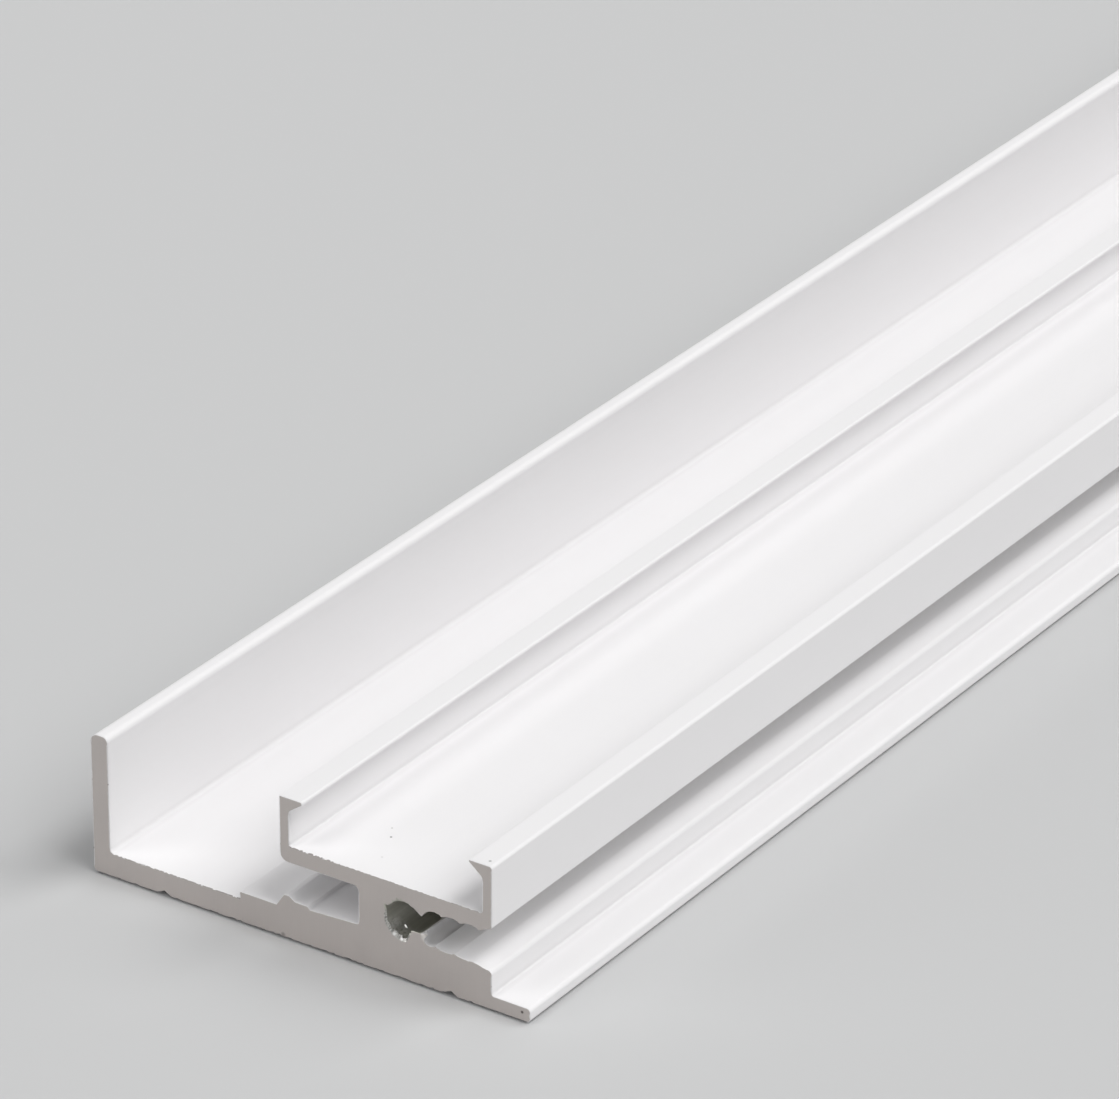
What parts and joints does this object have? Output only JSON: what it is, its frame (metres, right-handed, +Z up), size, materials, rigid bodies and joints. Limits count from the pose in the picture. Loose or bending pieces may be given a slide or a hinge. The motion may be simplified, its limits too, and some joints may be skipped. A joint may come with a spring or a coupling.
{
  "type": "aluminium extrusion profile",
  "caption": "Long white-coated aluminium edge profile with an upright flange, a lipped strip tray, a serrated screw channel and a thin toe flange, for mounting light strips along an edge.",
  "frame": {"origin": "middle of the underside, halfway along the stock and halfway across its width", "axes": "+Z up from the underside, +Y along the stock, +X across it from the upright flange to the toe flange"},
  "size_m": [0.03, 1, 0.009],
  "materials": {
    "coated_aluminium": "satin"
  },
  "bodies": {
    "root": {"profile": "coated_aluminium"}
  },
  "joints": []
}
